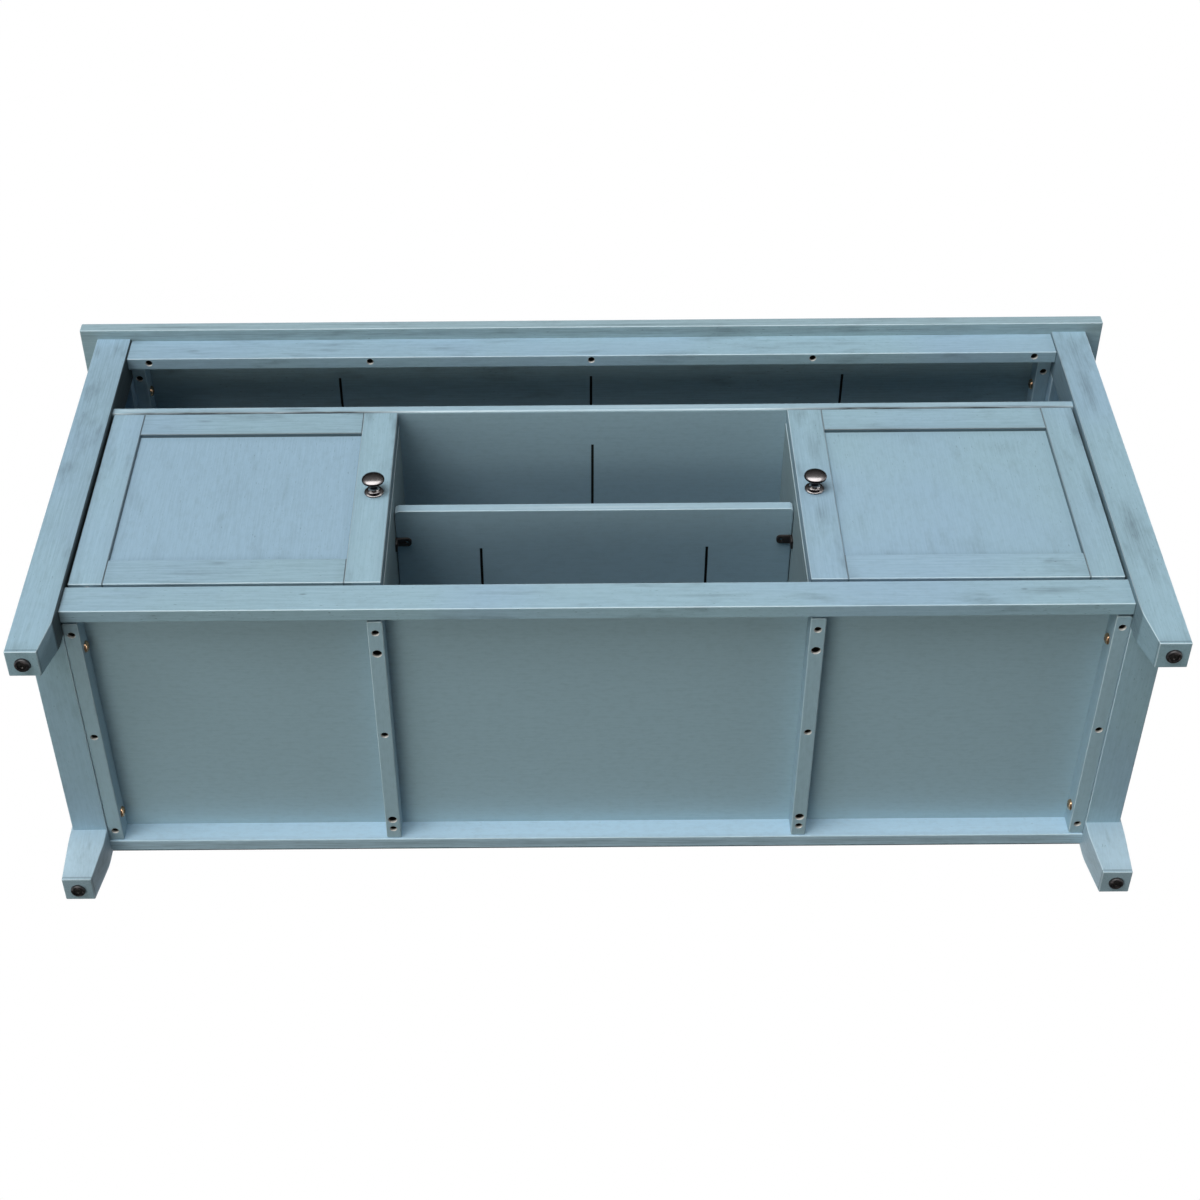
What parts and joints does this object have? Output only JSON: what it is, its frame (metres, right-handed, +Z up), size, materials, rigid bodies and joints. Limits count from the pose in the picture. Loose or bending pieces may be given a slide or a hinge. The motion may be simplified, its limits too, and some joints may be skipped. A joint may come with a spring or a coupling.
{
  "type": "tv cabinet",
  "caption": "Low painted wooden TV cabinet on tapered legs, with framed swing doors, an open middle bay with a shelf and a wide open slot under the top.",
  "frame": {"origin": "on the floor under the middle of the cabinet", "axes": "+X to the right seen from the front, +Y to the back, +Z up"},
  "size_m": [1.2, 0.3836, 0.562],
  "materials": {
    "painted_wood": "brushed grey-blue paint over wood, satin",
    "back_board": "painted thin board, matt",
    "glide_plastic": "dark moulded plastic",
    "black_plastic": "black moulded plastic",
    "bush_plastic": "natural nylon",
    "knob_metal": "dark polished nickel",
    "screw_steel": "dark zinc",
    "plated_steel": "bright zinc",
    "brass": "yellow plated"
  },
  "bodies": {
    "carcass": {"back_panel": "back_board", "back_panel_screws": "screw_steel", "bottom_panel": "painted_wood", "cleat_screws": "brass", "door_catches": "black_plastic", "foot_glides": "glide_plastic", "front_bottom_rail": "painted_wood", "front_left_leg": "painted_wood", "front_right_leg": "painted_wood", "front_top_rail": "painted_wood", "glide_nails": "screw_steel", "left_bottom_cleat": "painted_wood", "left_centre_cleat": "painted_wood", "left_hinge_pins": "plated_steel", "left_partition": "painted_wood", "left_shelf_cleat": "painted_wood", "left_side_bottom_rail": "painted_wood", "left_side_panel": "painted_wood", "left_side_top_rail": "painted_wood", "left_top_cleat": "painted_wood", "middle_shelf": "painted_wood", "panel_screws": "screw_steel", "partition_screws": "screw_steel", "rear_bottom_rail": "painted_wood", "rear_left_leg": "painted_wood", "rear_right_leg": "painted_wood", "rear_top_rail": "painted_wood", "right_bottom_cleat": "painted_wood", "right_centre_cleat": "painted_wood", "right_hinge_pins": "plated_steel", "right_partition": "painted_wood", "right_shelf_cleat": "painted_wood", "right_side_bottom_rail": "painted_wood", "right_side_panel": "painted_wood", "right_side_top_rail": "painted_wood", "right_top_cleat": "painted_wood", "shelf_pegs": "black_plastic", "top_panel": "painted_wood", "upper_shelf": "painted_wood"},
    "left_door": {"left_door_bottom_rail": "painted_wood", "left_door_inner_stile": "painted_wood", "left_door_knob": "knob_metal", "left_door_outer_stile": "painted_wood", "left_door_panel": "painted_wood", "left_door_top_rail": "painted_wood", "left_hinge_bushes": "bush_plastic", "left_knob_screw": "screw_steel", "left_strike_plate": "plated_steel"},
    "right_door": {"right_door_bottom_rail": "painted_wood", "right_door_inner_stile": "painted_wood", "right_door_knob": "knob_metal", "right_door_outer_stile": "painted_wood", "right_door_panel": "painted_wood", "right_door_top_rail": "painted_wood", "right_hinge_bushes": "bush_plastic", "right_knob_screw": "screw_steel", "right_strike_plate": "plated_steel"}
  },
  "joints": [
    {"name": "left_door_hinge", "type": "hinge", "parent": "carcass", "child": "left_door", "pos_m": [-0.519, -0.16275, 0.25825], "axis": [0, 0, -1], "range_deg": [0, 105]},
    {"name": "right_door_hinge", "type": "hinge", "parent": "carcass", "child": "right_door", "pos_m": [0.519, -0.16275, 0.25825], "axis": [0, 0, 1], "range_deg": [0, 105]}
  ]
}
